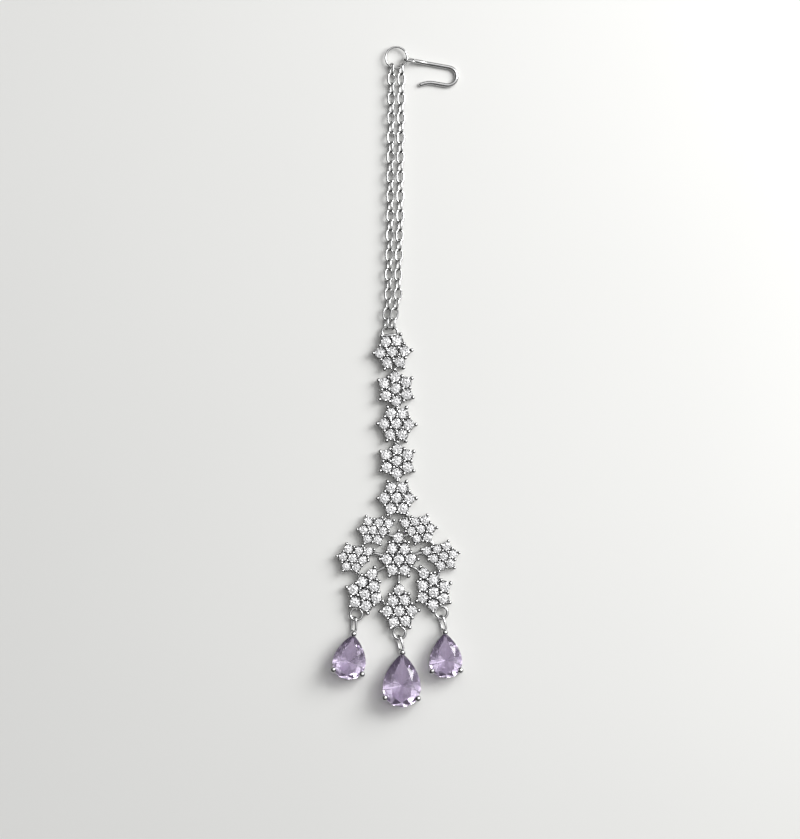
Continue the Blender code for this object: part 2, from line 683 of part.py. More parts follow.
def make_drop(row, loop, setting_material, stone_material):
    """Pear drop: setting with rails, prongs, balls and bail, and its stone."""
    name, _, _, place_on_loop, lean, turn, width, length, crown, depth = row
    girdle = CULET_ABOVE_BACK + depth
    # Bail: hangs in the loop at one end and is soldered to the tip prong at the other
    inner = (LOOP_WIDTH - LOOP_WIRE) / 2 - LOOP_WIRE / 2 - BAIL_WIRE / 2 - JOIN_GAP
    along = direction(90.0 + lean)
    bail_half = (BAIL_LENGTH - BAIL_WIRE) / 2
    bail_top = loop + direction(place_on_loop) * inner
    bail_centre = bail_top - along * bail_half
    across, normal = rolled(along, BAIL_ROLL)
    bail = oval(bail_centre, along, across, BAIL_LENGTH, BAIL_WIDTH, BAIL_WIRE, 4)
    ball = bail_centre - along * (bail_half + DROP_PRONG_WIDTH / 2 + BAIL_WIRE / 2 - JOIN_OVERLAP)
    ball_from_middle = length / 2 + BALL_PAST_TIP
    middle = ball - direction(90.0 + turn) * ball_from_middle
    frame = Matrix.Translation((middle.x, middle.y, 0.0)) @ Matrix.Rotation(math.radians(turn), 4, "Z")
    # Prongs stand at the tip and at either side of the belly
    sides = [pear_point(width, length, degrees) for degrees in (SIDE_PRONG_PLACE, -SIDE_PRONG_PLACE)]
    places = [Vector((0.0, ball_from_middle, 0.0))]
    places += [point + point.normalized() * (DROP_PRONG_WIDTH / 2 - STONE_GAP) for point in sides]
    balls = places[:1] + [point + point.normalized() * BALL_PAST_SIDE for point in sides]
    rails = bmesh.new()
    for bottom in (0.0, UPPER_RAIL_ABOVE_BACK):
        rings = []
        for side in (-1, 1):
            grow = side * DROP_RAIL / 2
            wall = pear_ring(width + 2 * grow, length + 2 * grow, RAIL_SCALE, RAIL_STEPS)
            for height in (bottom, bottom + DROP_RAIL):
                rings.append([rails.verts.new((point.x, point.y, height)) for point in wall])
        add_side(rails, rings[0], rings[1])
        add_side(rails, rings[2], rings[3])
        add_side(rails, rings[0], rings[2])
        add_side(rails, rings[1], rings[3])
    bmesh.ops.transform(rails, matrix=frame, verts=rails.verts[:])
    setting = finish_object("drop_setting_" + name, rails, setting_material)
    # The bail joins the tip prong below the girdle
    wires = bmesh.new()
    add_wire(wires, tidy_ring(bail), BAIL_WIRE, 5, True, normal)
    apply_boolean(setting, finish_object("bail", wires, setting_material), "UNION")
    prongs = bmesh.new()
    for place in places:
        add_column(prongs, place, 0.0, girdle + BALL_WIDTH / 2, DROP_PRONG_WIDTH)
    bmesh.ops.transform(prongs, matrix=frame, verts=prongs.verts[:])
    apply_boolean(setting, finish_object("prongs", prongs, setting_material), "UNION")
    tops = bmesh.new()
    for ball_place in balls:
        spot = Matrix.Translation((ball_place.x, ball_place.y, girdle + BALL_WIDTH * BALL_RISE))
        bmesh.ops.create_uvsphere(tops, u_segments=6, v_segments=4, radius=BALL_WIDTH / 2, matrix=spot)
    bmesh.ops.transform(tops, matrix=frame, verts=tops.verts[:])
    apply_boolean(setting, finish_object("balls", tops, setting_material), "UNION")
    # The stone's seat leaves a thin gap all round
    seat_space = pear_stone_mesh(width, length, crown, depth, STONE_GAP)
    bmesh.ops.transform(seat_space, matrix=frame, verts=seat_space.verts[:])
    apply_boolean(setting, finish_object("seat", seat_space, setting_material), "DIFFERENCE")
    stone = pear_stone_mesh(width, length, crown, depth, 0.0)
    bmesh.ops.transform(stone, matrix=frame, verts=stone.verts[:])
    finish_object("drop_stone_" + name, stone, stone_material)


def centre_on_origin():
    """Move the whole jewel so that its box stands on the origin."""
    corners = [vertex.co for item in bpy.data.objects for vertex in item.data.vertices]
    low = [min(corner[axis] for corner in corners) for axis in range(3)]
    high = [max(corner[axis] for corner in corners) for axis in range(3)]
    shift = Vector((-(low[0] + high[0]) / 2, -(low[1] + high[1]) / 2, -low[2]))
    for item in bpy.data.objects:
        item.data.transform(Matrix.Translation(shift))


def main():
    clear_scene()
    metal = make_material("bright_metal", (0.82, 0.82, 0.84), 1.0, 0.12)
    stones_in_metal = make_material("stones_in_metal", (0.86, 0.87, 0.90), 0.6, 0.10)
    lilac = make_material("lilac_stone", (0.62, 0.52, 0.78), 0.0, 0.05)

    clusters = strip_clusters()
    flowers = {name: make_strip_flower(name, cluster, stones_in_metal) for name, cluster in clusters.items()}
    pendant_parts = pendant_clusters()
    pendant = make_pendant(pendant_parts, stones_in_metal)

    # Flat flowers are joined at a valley, and turned ones at the tip of a petal
    names = [row[0] for row in reversed(STRIP)]
    for number, (upper, lower) in enumerate(zip(names, names[1:]), start=1):
        posts = []
        for name, goal in ((upper, clusters[lower].centre), (lower, clusters[upper].centre)):
            cluster = clusters[name]
            post = VALLEY_POST if cluster.open_valleys else TIP_POST
            posts.append(cluster.centre + (goal - cluster.centre).normalized() * post * cluster.pitch)
        ring_name = "strip_ring_" + str(number)
        make_joining_ring(ring_name, flowers[upper], posts[0], flowers[lower], posts[1], metal)
    last = clusters[names[-1]]
    for side, petal in (("left", 240.0), ("right", 300.0)):
        post = last.place(TIP_POST, 0.0, petal + last.turn)
        below = pendant_parts["upper_" + side].extra_centre()
        make_joining_ring("pendant_ring_" + side, flowers[names[-1]], post, pendant, below, metal)

    first = clusters[names[0]]
    add_top_loop(flowers[names[0]], first, stones_in_metal)
    loop = top_loop_centre(first)
    left = strand_links(loop, LEFT_ROUTE)
    right = strand_links(loop, RIGHT_ROUTE)
    make_strand("chain_left", left, metal)
    make_strand("chain_right", right, metal)
    ring_centre = end_ring_centre(left[-1][0], right[-1][0])
    make_end_ring(ring_centre, metal)
    make_hook(ring_centre, metal)

    for row in DROPS:
        carrier = pendant_parts[row[1]]
        make_drop(row, loop_centre(carrier, row[2]), metal, lilac)
    centre_on_origin()


main()
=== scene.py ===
"""Looks of a maang tikka: stone flowers, a double link chain, pear drops and a hair hook.

Pieces are modelled in millimetres and brought to metres when they are finished.
"""

import math
from collections import namedtuple

import bpy
from bpy.props import FloatProperty, FloatVectorProperty, PointerProperty
from mathutils import Matrix, Vector


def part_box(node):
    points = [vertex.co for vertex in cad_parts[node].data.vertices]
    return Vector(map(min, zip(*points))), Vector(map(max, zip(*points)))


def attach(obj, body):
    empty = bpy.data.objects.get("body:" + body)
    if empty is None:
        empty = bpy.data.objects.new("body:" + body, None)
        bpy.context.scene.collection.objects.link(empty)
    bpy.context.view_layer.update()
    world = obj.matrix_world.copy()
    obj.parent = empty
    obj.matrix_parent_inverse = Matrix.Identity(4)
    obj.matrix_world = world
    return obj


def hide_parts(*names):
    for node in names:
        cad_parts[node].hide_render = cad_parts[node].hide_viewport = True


bl_info = {
    "name": "Maang Tikka",
    "version": (1, 0, 0),
    "blender": (4, 5, 0),
    "location": "View3D > Sidebar > Tikka",
    "description": "Builds the settings, stones, chains and drops of a head jewel round its solids",
    "category": "Object",
}

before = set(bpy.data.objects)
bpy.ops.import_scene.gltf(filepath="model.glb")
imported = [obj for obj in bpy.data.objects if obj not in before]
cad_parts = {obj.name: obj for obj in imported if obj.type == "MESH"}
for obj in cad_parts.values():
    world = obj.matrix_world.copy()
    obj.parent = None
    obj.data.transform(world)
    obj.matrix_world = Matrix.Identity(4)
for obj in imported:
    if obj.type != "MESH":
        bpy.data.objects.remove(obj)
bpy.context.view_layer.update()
MM = 0.001
TO_MM = 1000.0
UP = Vector((0.0, 0.0, 1.0))

# Shares of the pitch within a flower of round stones
TIP_EDGE = 1.72
TIP_PRONG = 1.577
VALLEY_PRONG = 1.155
INNER_PRONG = 0.577
EXTRA_STONE = 3 ** 0.5
EXTRA_TIP_PRONG = 2.309
EXTRA_SIDE_PRONG = (1.443, 0.50)
VALLEY_EDGE = 1.28
VALLEY_POST = 0.78
TIP_POST = 1.50
PRONG_HEIGHT = 0.46

# Strip, from the pendant upwards: step from the piece below in large pitches, place
# sideways in mm, turn of the petals, and sides whose valley is open (1 up, -1 down)
STRIP = (
    ("strip_flower_5", 4.97, -0.32, 0.0, (1,)),
    ("strip_flower_4", 3.03, -0.30, 90.0, ()),
    ("strip_flower_3", 3.03, -0.38, -1.4, (1, -1)),
    ("strip_flower_2", 2.88, -0.54, 93.7, ()),
    ("strip_flower_1", 3.04, -1.14, 4.7, (-1,)),
)
LEVEL_FLOWER = "strip_flower_4"

# Pendant: whether the flower is small, reach from the centre as a share of the two
# pitches together, direction, and direction of its eighth stone
PENDANT = (
    ("upper_left", True, 1.725, 131.7, 26.0),
    ("upper_right", True, 1.671, 52.9, 157.0),
    ("middle_left", True, 2.067, 178.8, 22.0),
    ("middle_right", True, 2.026, 4.0, 163.0),
    ("lower_left", False, 1.985, 225.5, 69.3),
    ("lower_right", False, 1.949, 316.8, 117.7),
    ("bottom", False, 2.104, 270.9, 92.0),
)
CENTRE_EXTRA = 90.0
SOLDERED_TIPS = (
    ("upper_left", "middle_left"),
    ("middle_left", "lower_left"),
    ("lower_left", "bottom"),
    ("bottom", "lower_right"),
    ("lower_right", "middle_right"),
    ("middle_right", "upper_right"),
)
BARS_TO_CENTRE = ("middle_left", "middle_right", "lower_left", "lower_right", "bottom")
BARS_TO_CENTRE_EXTRA = ("upper_left", "upper_right")

# Drops: flower that carries it, direction of its loop, place round the loop where the
# bail hangs, lean of the bail, turn of the stone, and the stone's width, length, crown
# and depth below the girdle, in degrees and mm
Drop = namedtuple("Drop", "name flower loop_way bail_way lean turn width length crown depth")
DROPS = (
    Drop("left", "lower_left", 247.4, 228.0, 0.0, -9.0, 6.1, 8.2, 0.80, 2.45),
    Drop("centre", "bottom", 270.0, 240.0, 16.0, -1.1, 7.0, 9.8, 0.95, 2.85),
    Drop("right", "lower_right", 291.4, 255.0, 15.0, 1.6, 6.0, 8.2, 0.80, 2.45),
)

# Strands: places sideways from the top loop, and how far along the strand each one is
LINKS = 27
LINK_LENGTH = 2.52
LINK_PITCH = 1.82
STRANDS = (
    ("chain_left", ((-0.62, 0.0), (-0.20, 0.12), (0.10, 0.45), (0.35, 1.0))),
    ("chain_right", ((0.62, 0.0), (1.52, 0.12), (1.92, 0.45), (2.15, 1.0))),
)
STEEP_ROLL = 65.0
FLAT_ROLL = STEEP_ROLL - 90.0

# Round stones and their settings: shares of the stone's radius, the prong's ball and the
# pitch, with the stub's foot in mm, and tilt and spin in degrees
ROUND_CROWN = 0.30
ROUND_DEPTH = 0.88
ROUND_GIRDLE = 0.04
ROUND_TABLE = (0.58, 0.58)
COLLET_TOP = 0.03
COLLET_DEPTH = 0.60
COLLET_FOOT = 0.38
COLLET_RIM = 1.015
COLLET_SLEEVE = 0.12
COLLET_WALL = 0.045
PRONG_NECK = 0.72
PRONG_NECK_EDGE = 0.8
PRONG_BELOW_BALL = 1.02
BACK_RING_WIDTH = 0.98
BACK_RING_WIRE = 0.15
STUB_FOOT = 0.92
STONE_TILT = 7.0
STONE_SPIN = 22.0

# Soldered loops and the band in the top loop, in mm, with the loop's direction in degrees
LOOP_WIDTH = 2.75
LOOP_HEIGHT = 0.82
JOIN_OVERLAP = 0.25
JOIN_GAP = 0.10
TOP_LOOP_DIRECTION = 98.0
TOP_LOOP_LENGTH = 2.20
TOP_LOOP_WIDTH = 3.40
BAND_BELOW = 0.64
BAND_LENGTH = 2.10
BAND_WIDTH = 0.62
BAND_BOTTOM = 0.60
BAND_TOP = 1.30

# Bars between flowers, in mm, with seats in pitches and rounding as a share
BAR_WIDTH = 0.66
BAR_BOTTOM = 0.36
BAR_TOP = 1.02
BAR_REACH = 0.72
BAR_STEP = 0.02
BAR_SEAT = 0.85
BAR_SEAT_IN_EXTRA = 0.32
BAR_ROUNDING = 0.45

# Hook and its ring, in mm, with shares of the shank and of the return
END_RING_WIRE = 0.40
EYE_LENGTH = 2.60
EYE_WIDTH = 1.75
HOOK_SHANK = 6.40
HOOK_RETURN = 4.60
HOOK_GAP = 2.60
HOOK_FLARE = 0.70
SINK_START = 0.08
SINK_SPAN = 0.30
FLARE_START = 0.5
HOOK_STEPS = 12
RETURN_STEPS = 8

# Pears and their settings, in mm, degrees, or shares of the outline, crown, depth or ball
PEAR_BELLY = -0.11
PEAR_SHARPNESS = 0.7
PEAR_TABLE = (0.58, 0.78)
PEAR_STAR = 0.55
PEAR_LOWER = 0.88
DROP_CULET = 0.30
DROP_GIRDLE = 0.12
RAIL_HEIGHTS = (0.225, 1.675)
RAIL_SCALE = 0.93
RAIL_STEPS = 56
SIDE_PRONG_PLACE = 131.0
BALL_OUT = 0.04
BALL_RISE = 0.45
TIP_OUT = 0.20
SOLID_LOOP_WIRE = 0.45
SOLID_BAIL_WIRE = 0.40
BAIL_LENGTH = 3.20
BAIL_WIDTH = 1.80
BAIL_WIRE = 0.46
BAIL_ROLL = 52.0
POST_WIDTH = 0.70

# Modelling: a blank's height over its stone's, and tolerances in mm
BLANK_SPARE = 1.2
WELD = 0.0005
LEVEL = 0.01

# Smoothing, in degrees
WIRE_SMOOTH = 60.0
SETTING_SMOOTH = 50.0
FACETED = 0.0

# Stage: where the light comes from, and lengths in metres
WINDOW_WAY = (0.54, 0.45, 0.71)
KEY_WAY = (0.70, 0.40, 0.59)
KEY_SIZE = 0.30
KEY_DISTANCE = 0.50
FLOOR_SIZE = 3.0


def node_box(name):
    """Lowest and highest corner of a solid, in millimetres."""
    low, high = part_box(name)
    return low * TO_MM, high * TO_MM


def level_flower_size():
    """Centre and pitch of the flower that stands square to the frame."""
    low, high = node_box(LEVEL_FLOWER)
    pitch = (high.x - low.x) / (2 * TIP_EDGE * math.cos(math.radians(30.0)))
    return (low + high) / 2, pitch


LEVEL_CENTRE, LARGE_PITCH = level_flower_size()


class TikkaSizes(bpy.types.PropertyGroup):
    """Sizes that the solids leave open."""

    small_share: FloatProperty(
        name="Small flowers", description="Pitch of the small flowers over that of the large ones",
        default=0.8186, min=0.5, max=1.0,
    )
    setting_height: FloatProperty(
        name="Setting height", description="Height of the round stones' girdles above the back",
        default=1.30 * MM, unit="LENGTH",
    )
    stone_share: FloatProperty(
        name="Stone radius", description="Radius of a round stone, in pitches",
        default=0.435, min=0.40, max=0.49,
    )
    ball_share: FloatProperty(
        name="Prong ball", description="Radius of a prong's ball, in pitches",
        default=0.18, min=0.05, max=0.2,
    )
    link_wire: FloatProperty(
        name="Link wire", description="Thickness of the chain's wire", default=0.42 * MM, unit="LENGTH",
    )
    loop_wire: FloatProperty(
        name="Loop wire", description="Thickness of the soldered loops' wire",
        default=0.54 * MM, unit="LENGTH",
    )
    drop_ball: FloatProperty(
        name="Drop ball", description="Width of the balls on the drops' prongs",
        default=1.145 * MM, unit="LENGTH",
    )


class TikkaFinishes(bpy.types.PropertyGroup):
    """Colours and gloss."""

    metal: FloatVectorProperty(
        name="Metal", description="Colour of the bright plate", subtype="COLOR",
        default=(0.62, 0.62, 0.62), min=0.0, max=1.0,
    )
    metal_roughness: FloatProperty(
        name="Metal roughness", description="Roughness of the polished plate",
        default=0.07, min=0.0, max=1.0,
    )
    clear: FloatVectorProperty(
        name="Clear stone", description="Colour of the clear stones", subtype="COLOR",
        default=(0.99, 0.99, 1.0), min=0.0, max=1.0,
    )
    clear_index: FloatProperty(
        name="Clear index", description="Refractive index of the clear stones",
        default=2.1, min=1.3, max=2.5,
    )
    lilac: FloatVectorProperty(
        name="Lilac stone", description="Colour of the pear stones", subtype="COLOR",
        default=(0.73, 0.63, 0.83), min=0.0, max=1.0,
    )
    lilac_index: FloatProperty(
        name="Lilac index", description="Refractive index of the pear stones",
        default=1.56, min=1.3, max=2.5,
    )
    floor: FloatVectorProperty(
        name="Floor", description="Colour of the pale glazed floor", subtype="COLOR",
        default=(0.71, 0.71, 0.695), min=0.0, max=1.0,
    )


class TikkaStage(bpy.types.PropertyGroup):
    """Camera and light."""

    elevation: FloatProperty(
        name="Elevation", description="Camera's angle above the floor",
        default=math.radians(87.5), subtype="ANGLE",
    )
    distance: FloatProperty(
        name="Distance", description="Camera's distance from the jewel", default=0.55, unit="LENGTH",
    )
    frame_height: FloatProperty(
        name="Frame height", description="Stretch of floor along the picture's long side",
        default=0.1552, unit="LENGTH",
    )
    aim: FloatVectorProperty(
        name="Aim", description="Middle of the picture, from the pendant's centre",
        default=(0.26 * MM, 25.84 * MM), size=2, subtype="XYZ_LENGTH",
    )
    key_strength: FloatProperty(
        name="Key light", description="Power of the broad light from the right", default=2.9, unit="POWER",
    )
    room_bright: FloatProperty(
        name="Bright side", description="Brightness of the room where its window is", default=1.6, min=0.0,
    )
    room_dark: FloatProperty(
        name="Dark side", description="Brightness of the rest of the room, as a share of it",
        default=0.04, min=0.0,
    )


class Value:
    """Socket in a shader whose arithmetic adds Math nodes."""

    def __init__(self, shader, socket):
        self.shader = shader
        self.socket = socket

    def combine(self, operation, first, second):
        return self.shader.node("ShaderNodeMath", {"operation": operation}, {0: first, 1: second})[0]

    def __add__(self, other):
        return self.combine("ADD", self, other)

    __radd__ = __add__

    def __sub__(self, other):
        return self.combine("SUBTRACT", self, other)

    def __rsub__(self, other):
        return self.combine("SUBTRACT", other, self)

    def __mul__(self, other):
        return self.combine("MULTIPLY", self, other)

    __rmul__ = __mul__


class Outputs:
    """Outputs of a node as values."""

    def __init__(self, shader, node):
        self.shader = shader
        self.node = node

    def __getitem__(self, key):
        return Value(self.shader, self.node.outputs[key])


class Shader:
    """Node tree of a material or a world under construction."""

    def __init__(self, owner):
        self.owner = owner
        owner.use_nodes = True
        self.tree = owner.node_tree

    def node(self, kind, settings=None, inputs=None):
        """Add a node, its settings first and then its sockets."""
        added = self.tree.nodes.new(kind)
        for key, value in (settings or {}).items():
            if key == "stops":
                self.set_stops(added.color_ramp, value)
            else:
                setattr(added, key, value)
        for key, value in (inputs or {}).items():
            self.feed(added.inputs[key], value)
        return Outputs(self, added)

    def set_stops(self, ramp, stops):
        while len(ramp.elements) < len(stops):
            ramp.elements.new(0.5)
        for element, (place, colour) in zip(ramp.elements, stops):
            element.position = place
            element.color = colour

    def feed(self, socket, value):
        if isinstance(value, Value):
            self.tree.links.new(value.socket, socket)
        else:
            socket.default_value = value

    def finish(self, name, **sockets):
        """Set the sockets of the closing shader, written with underscores for spaces."""
        surface = self.tree.nodes[name]
        for key, value in sockets.items():
            self.feed(surface.inputs[key.replace("_", " ")], value)
        return self.owner

    def noise(self, scale, detail):
        """Noise at so many grains a millimetre, on the piece's own coordinates."""
        place = self.node("ShaderNodeTexCoord")["Object"]
        inputs = {"Scale": scale * TO_MM, "Detail": detail, "Vector": place}
        return self.node("ShaderNodeTexNoise", {}, inputs)["Fac"]

    def ramp(self, value, *stops):
        """Colour that follows a value."""
        return self.node("ShaderNodeValToRGB", {"stops": stops}, {"Fac": value})["Color"]

    def bump(self, height, depth, strength):
        """Normal from a height, with its depth in millimetres."""
        inputs = {"Height": height, "Distance": depth / TO_MM, "Strength": strength}
        return self.node("ShaderNodeBump", {}, inputs)["Normal"]


def grey(level):
    return (level, level, level, 1.0)


def solid(colour, share=1.0):
    """Socket colour from a property's colour, darkened to a share of it."""
    return (*(channel * share for channel in colour), 1.0)


def new_material(name, colour):
    made = bpy.data.materials.new(name)
    made.diffuse_color = solid(colour)
    return Shader(made)


def plate_material(name, finishes):
    """Bright plated metal, faintly uneven from casting and from the polishing mop."""
    shader = new_material(name, finishes.metal)
    cloud = shader.noise(0.9, 3.0)
    grain = shader.noise(7.0, 2.0)
    shader.finish(
        "Principled BSDF",
        Base_Color=shader.ramp(cloud, (0.30, solid(finishes.metal, 0.90)), (0.70, solid(finishes.metal))),
        Metallic=1.0,
        Roughness=finishes.metal_roughness + 0.08 * (cloud - 0.5) + 0.04 * grain,
        Normal=shader.bump(cloud + 0.4 * grain, 0.02, 0.3),
    )


def stone_material(name, colour, index, clearness):
    """Polished stone with the faintest haze of handling."""
    shader = new_material(name, colour)
    haze = shader.noise(1.5, 2.0)
    shader.finish(
        "Principled BSDF",
        Base_Color=shader.ramp(haze, (0.35, solid(colour, 0.96)), (0.65, solid(colour))),
        Metallic=0.0,
        Roughness=0.01 * haze,
        IOR=index,
        Transmission_Weight=clearness,
    )


def clear_material(name, finishes):
    stone_material(name, finishes.clear, finishes.clear_index, clearness=1.0)


def lilac_material(name, finishes):
    stone_material(name, finishes.lilac, finishes.lilac_index, clearness=0.92)


def floor_material(name, finishes):
    """Pale glazed floor."""
    shader = new_material(name, finishes.floor)
    cloud = shader.noise(0.01, 2.0)
    shader.finish(
        "Principled BSDF",
        Base_Color=shader.ramp(cloud, (0.3, solid(finishes.floor, 0.98)), (0.7, solid(finishes.floor))),
        Roughness=0.40 + 0.10 * cloud,
    )


MATERIALS = {
    "bright_plate": plate_material,
    "clear_brilliant": clear_material,
    "lilac_pear": lilac_material,
    "pale_floor": floor_material,
}


def material(name):
    """Finish by name, made when it is first asked for."""
    if name not in bpy.data.materials:
        MATERIALS[name](name, bpy.context.scene.tikka_finishes)
    return bpy.data.materials[name]


def deselect():
    if bpy.context.object and bpy.context.object.mode != "OBJECT":
        bpy.ops.object.mode_set(mode="OBJECT")
    bpy.ops.object.select_all(action="DESELECT")


def activate(item):
    deselect()
    item.select_set(True)
    bpy.context.view_layer.objects.active = item


def newest():
    return bpy.context.view_layer.objects.active


def add_object(name, data):
    item = bpy.data.objects.new(name, data)
    bpy.context.scene.collection.objects.link(item)
    return item


def shift(item, place):
    """Move a shape's mesh within its object."""
    item.data.transform(Matrix.Translation(place))


def ball_at(place, width, segments, ring_count):
    bpy.ops.mesh.primitive_uv_sphere_add(
        segments=segments, ring_count=ring_count, radius=width / 2, location=place,
    )
    bpy.ops.object.transform_apply(location=True, rotation=False, scale=False)
    return newest()


def leave_edit():
    bpy.ops.object.mode_set(mode="OBJECT")


def select_where(item, kind, test):
    """Select the faces or corners of an object that pass a test, and enter edit mode."""
    activate(item)
    bpy.ops.object.mode_set(mode="EDIT")
    bpy.ops.mesh.select_mode(type=kind)
    bpy.ops.mesh.select_all(action="DESELECT")
    leave_edit()
    for element in item.data.polygons if kind == "FACE" else item.data.vertices:
        element.select = test(element)
    bpy.ops.object.mode_set(mode="EDIT")


def direction(degrees):
    """Unit vector in the plane of the back, counted from +X."""
    angle = math.radians(degrees)
    return Vector((math.cos(angle), math.sin(angle), 0.0))


def placed(template, matrix):
    """Copy of a modelled shape, with its own mesh, set down by a matrix."""
    mesh = template.data.copy()
    mesh.transform(matrix)
    return add_object(template.name + "_copy", mesh)


def discard(*items):
    for item in items:
        bpy.data.objects.remove(item, do_unlink=True)


def joined(name, items):
    """Join finished shapes into one object."""
    deselect()
    for item in items:
        item.select_set(True)
    bpy.context.view_layer.objects.active = items[0]
    if len(items) > 1:
        bpy.ops.object.join()
    items[0].name = name
    return items[0]


def finish_piece(item, finish, replaced, smooth):
    """Bring a piece to metres and give it its finish and its place in the frame."""
    activate(item)
    item.data.transform(Matrix.Scale(1.0 / TO_MM, 4))
    item.data.materials.clear()
    item.data.materials.append(material(finish))
    if smooth:
        bpy.ops.object.shade_smooth_by_angle(angle=math.radians(smooth))
    else:
        bpy.ops.object.shade_flat()
    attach(item, "root")
    if replaced:
        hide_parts(*replaced)


def finish_metal(item, node, smooth=SETTING_SMOOTH):
    """Finish a piece of plated metal that stands for a node."""
    finish_piece(item, "bright_plate", (node,), smooth)


def ring_of_wire(length, width, wire, around=24, across=16):
    """Oval ring of round wire, flat, its length along +X."""
    radius = (width - wire) / 2
    bpy.ops.mesh.primitive_torus_add(
        major_radius=radius, minor_radius=wire / 2, major_segments=around, minor_segments=across,
        location=(0, 0, 0), rotation=(0, 0, math.pi / around),
    )
    ring = newest()
    bpy.ops.object.transform_apply(location=False, rotation=True, scale=False)
    stretch = (length - width) / 2
    if stretch > 0:
        for side in (1, -1):
            select_where(ring, "VERT", lambda corner: corner.co.x * side > 0)
            bpy.ops.transform.translate(value=(side * stretch, 0, 0))
            leave_edit()
    return ring


def turned(centre, along, roll=0.0):
    """Matrix that lays +X along a direction, rolls round it and moves to a centre."""
    heading = math.atan2(along.y, along.x)
    return (
        Matrix.Translation(centre)
        @ Matrix.Rotation(heading, 4, "Z")
        @ Matrix.Rotation(-math.radians(roll), 4, "X")
    )


class Flower:
    """Places within one flower of round stones, in millimetres."""

    def __init__(self, centre, pitch, turn, extra=None, open_sides=()):
        self.centre = Vector((centre[0], centre[1], 0.0))
        self.pitch = pitch
        self.turn = turn
        self.extra = extra
        self.petals = [turn + 60.0 * k for k in range(6)]
        self.valleys = [turn + 30.0 + 60.0 * k for k in range(6)]
        self.open_valleys = [
            min(self.valleys, key=lambda valley: (direction(valley) - direction(side)).length)
            for side in open_sides
        ]

    def place(self, along, across, degrees):
        forward = direction(degrees)
        sideways = direction(degrees + 90.0)
        return self.centre + (forward * along + sideways * across) * self.pitch

    def extra_centre(self):
        return self.place(EXTRA_STONE, 0.0, self.extra)

    def stones(self):
        places = [self.centre.copy()] + [self.place(1.0, 0.0, petal) for petal in self.petals]
        if self.extra is not None:
            places.append(self.extra_centre())
        return places

    def outer_prongs(self):
        places = [self.place(TIP_PRONG, 0.0, petal) for petal in self.petals]
        places += [
            self.place(VALLEY_PRONG, 0.0, valley)
            for valley in self.valleys if valley not in self.open_valleys
        ]
        if self.extra is not None:
            along, across = EXTRA_SIDE_PRONG
            places.append(self.place(EXTRA_TIP_PRONG, 0.0, self.extra))
            places.append(self.place(along, across, self.extra))
            places.append(self.place(along, -across, self.extra))
        return places

    def inner_prongs(self):
        return [self.place(INNER_PRONG, 0.0, valley) for valley in self.valleys]

    def ring_posts(self):
        return [self.place(VALLEY_POST, 0.0, valley) for valley in self.open_valleys]


def pendant_place():
    """Where the pendant's centre is, from the level flower of the strip."""
    return LEVEL_CENTRE.x - STRIP[1][2], LEVEL_CENTRE.y - (STRIP[0][1] + STRIP[1][1]) * LARGE_PITCH


def strip_flowers():
    flowers = {}
    middle, height = pendant_place()
    for name, step, sideways, turn, open_sides in STRIP:
        height += step * LARGE_PITCH
        sides = [side * 90.0 + turn for side in open_sides]
        flowers[name] = Flower((middle + sideways, height), LARGE_PITCH, turn, None, sides)
    return flowers


def pendant_flowers():
    small_pitch = LARGE_PITCH * bpy.context.scene.tikka_sizes.small_share
    middle = Vector((*pendant_place(), 0.0))
    flowers = {"centre": Flower(middle, LARGE_PITCH, CENTRE_EXTRA + 30.0, CENTRE_EXTRA)}
    for name, small, reach, way, extra in PENDANT:
        pitch = small_pitch if small else LARGE_PITCH
        place = middle + direction(way) * reach * (LARGE_PITCH + pitch)
        flowers[name] = Flower(place, pitch, extra + 30.0, extra)
    return flowers


def plane_through(first, second, third, outward):
    """Plane through three points whose normal leans the given way."""
    normal = (second - first).cross(third - first).normalized()
    if normal.dot(outward) < 0:
        normal.negate()
    return first, normal


def meet(planes, height):
    """Point where two planes cross at a height."""
    rows = [normal for _, normal in planes] + [UP]
    sides = [normal.dot(point) for point, normal in planes] + [height]
    return Matrix(rows).inverted() @ Vector(sides)


